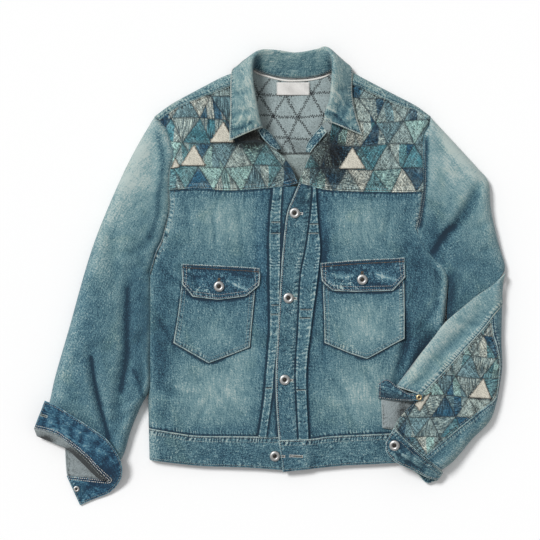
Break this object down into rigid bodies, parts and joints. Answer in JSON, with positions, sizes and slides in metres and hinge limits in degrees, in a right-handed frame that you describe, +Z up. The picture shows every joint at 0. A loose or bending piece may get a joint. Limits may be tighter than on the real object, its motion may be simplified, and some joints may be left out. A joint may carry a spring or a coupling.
{
  "type": "patched boro denim jacket",
  "caption": "Waist-length denim jacket laid flat, front up: turned-down collar, triangle patchwork yokes, flap pockets, button front, a turned-back cuff and a sleeve folded over the front.",
  "frame": {"origin": "centre of the laid jacket's bounding box, on the surface that it lies on", "axes": "+Z up from that surface and out of the jacket's front, +Y towards the collar, +X towards the wearer's left"},
  "size_m": [0.7683, 0.749, 0.0457],
  "materials": {
    "denim_body": "washed indigo denim, twill weave, faded along seams and edges",
    "denim_faded": "indigo denim faded to a pale grey green",
    "denim_dark": "less faded indigo denim, puckered along its seams",
    "denim_inside": "grey reverse side of the denim",
    "patchwork": "triangles of blue, teal and pale cloth with dark zigzag stitching",
    "quilted_inside": "grey cloth quilted in triangles with dark stitching",
    "cream_cloth": "coarse unbleached cloth",
    "label_cloth": "blank woven tape, off-white",
    "button_metal": "worn plated metal",
    "rivet_metal": "worn brass"
  },
  "bodies": {
    "root": {"back_body": "denim_body", "back_yoke": "quilted_inside", "button_1": "button_metal", "button_2": "button_metal", "button_3": "button_metal", "collar": "denim_faded", "cream_patch_1": "cream_cloth", "cream_patch_2": "cream_cloth", "cream_patch_3": "cream_cloth", "cream_patch_4": "cream_cloth", "cream_patch_5": "cream_cloth", "cream_patch_6": "cream_cloth", "label": "label_cloth", "left_cuff": "denim_body", "left_cuff_button": "button_metal", "left_cuff_flap": "denim_body", "left_cuff_rivet": "rivet_metal", "left_flap_button": "button_metal", "left_forearm_edge": "denim_body", "left_forearm_patchwork": "patchwork", "left_forearm_strip": "denim_faded", "left_forearm_under": "denim_inside", "left_front": "denim_body", "left_neck_facing": "patchwork", "left_placket": "denim_faded", "left_pleat": "denim_body", "left_pocket": "denim_body", "left_pocket_flap": "denim_dark", "left_sleeve": "denim_body", "left_yoke": "patchwork", "neck_tape": "cream_cloth", "right_cuff": "denim_dark", "right_cuff_tack": "button_metal", "right_flap_button": "button_metal", "right_front": "denim_body", "right_neck_facing": "patchwork", "right_placket": "denim_body", "right_pleat": "denim_body", "right_pocket": "denim_body", "right_pocket_flap": "denim_dark", "right_sleeve": "denim_body", "right_sleeve_facing": "denim_inside", "right_yoke": "patchwork", "waist_button": "button_metal", "waistband": "denim_body"}
  },
  "joints": []
}
